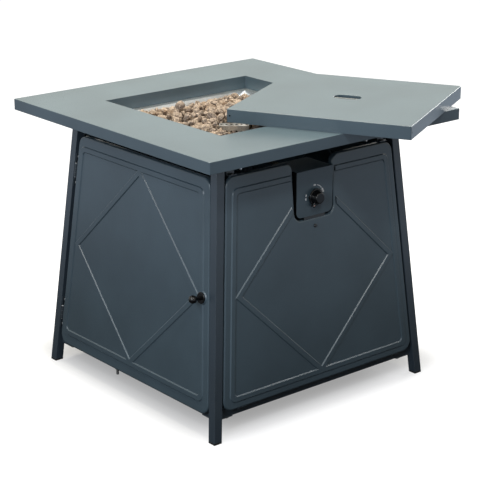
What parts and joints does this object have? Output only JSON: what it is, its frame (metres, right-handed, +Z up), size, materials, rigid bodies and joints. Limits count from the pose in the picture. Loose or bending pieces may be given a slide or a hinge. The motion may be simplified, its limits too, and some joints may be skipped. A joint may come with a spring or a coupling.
{
  "type": "gas fire pit table",
  "caption": "Square fire pit table on splayed legs with pressed side panels, a hinged cabinet door, a push-and-turn gas knob, lava rocks in a burner pan and a lift-off lid.",
  "frame": {"origin": "on the floor, at the middle of the four feet", "axes": "+Z up out of the table top; the control panel faces -Y (front); the door faces -X (left); the lid lies askew over the right front corner"},
  "size_m": [0.7838, 0.8386, 0.664],
  "materials": {
    "grey_powder_coat": "satin",
    "dark_powder_coat": "satin",
    "stainless": "brushed",
    "zinc_plated": "satin",
    "black_knob": "gloss",
    "black_plastic": "matte",
    "cast_valve": "as cast",
    "brass": "turned",
    "electrode_ceramic": "matte",
    "lava_rock": "rough"
  },
  "bodies": {
    "table": {"table_top": "grey_powder_coat", "top_channels": "dark_powder_coat", "top_bolts": "zinc_plated", "top_nuts": "zinc_plated", "leg_front_left": "grey_powder_coat", "leg_front_right": "grey_powder_coat", "leg_back_left": "grey_powder_coat", "leg_back_right": "grey_powder_coat", "foot_caps": "black_plastic", "top_rail_front": "grey_powder_coat", "top_rail_right": "grey_powder_coat", "top_rail_back": "grey_powder_coat", "top_rail_left": "grey_powder_coat", "bottom_rail_front": "grey_powder_coat", "bottom_rail_right": "grey_powder_coat", "bottom_rail_back": "grey_powder_coat", "bottom_rail_left": "grey_powder_coat", "corner_plates": "grey_powder_coat", "corner_bolts": "zinc_plated", "panel_front": "grey_powder_coat", "panel_right": "grey_powder_coat", "panel_back": "grey_powder_coat", "panel_hangers": "grey_powder_coat", "panel_shelves": "grey_powder_coat", "fixing_screws": "dark_powder_coat", "control_box": "grey_powder_coat", "control_bracket": "grey_powder_coat", "valve_screws": "dark_powder_coat", "gas_valve": "cast_valve", "burner_pan": "stainless", "burner_ring": "stainless", "burner_nut": "brass", "feed_pipe": "stainless", "pipe_nuts": "brass", "igniter_guard": "stainless", "igniter_electrode": "electrode_ceramic", "thermocouple": "stainless", "lava_rocks": "lava_rock", "heat_shield": "zinc_plated", "tray_bars": "grey_powder_coat", "bottle_tray": "grey_powder_coat", "bottle_stop": "grey_powder_coat", "hinge_leaves_leg": "dark_powder_coat", "hinge_leaf_screws": "zinc_plated", "hinge_pins": "zinc_plated", "magnet_catch": "black_plastic", "catch_bolt": "zinc_plated", "catch_nut": "zinc_plated"},
    "door": {"door": "grey_powder_coat", "door_knob": "black_knob", "door_knob_screw": "zinc_plated", "hinge_leaves_door": "dark_powder_coat", "hinge_rivets": "zinc_plated", "catch_strike": "zinc_plated"},
    "plunger": {"valve_plunger": "brass"},
    "knob": {"valve_stem": "zinc_plated", "control_knob": "black_knob"},
    "lid": {"lid": "grey_powder_coat", "lid_collar": "grey_powder_coat", "lid_grip": "dark_powder_coat"}
  },
  "joints": [
    {"name": "door_swing", "type": "hinge", "parent": "table", "child": "door", "pos_m": [-0.26761, 0.24461, 0.47482], "axis": [-0.0875, 0.0875, -0.9923], "range_deg": [0, 105]},
    {"name": "knob_push", "type": "slide", "parent": "table", "child": "plunger", "axis": [0, 1, 0], "range_m": [0, 0.003], "stiffness_N_per_m": 1500},
    {"name": "knob_turn", "type": "hinge", "parent": "plunger", "child": "knob", "pos_m": [0, -0.2756, 0.48], "axis": [0, 1, 0], "range_deg": [0, 240]},
    {"name": "lid_lift", "type": "slide", "parent": "table", "child": "lid", "axis": [0, 0, 1], "range_m": [0, 0.2]}
  ]
}
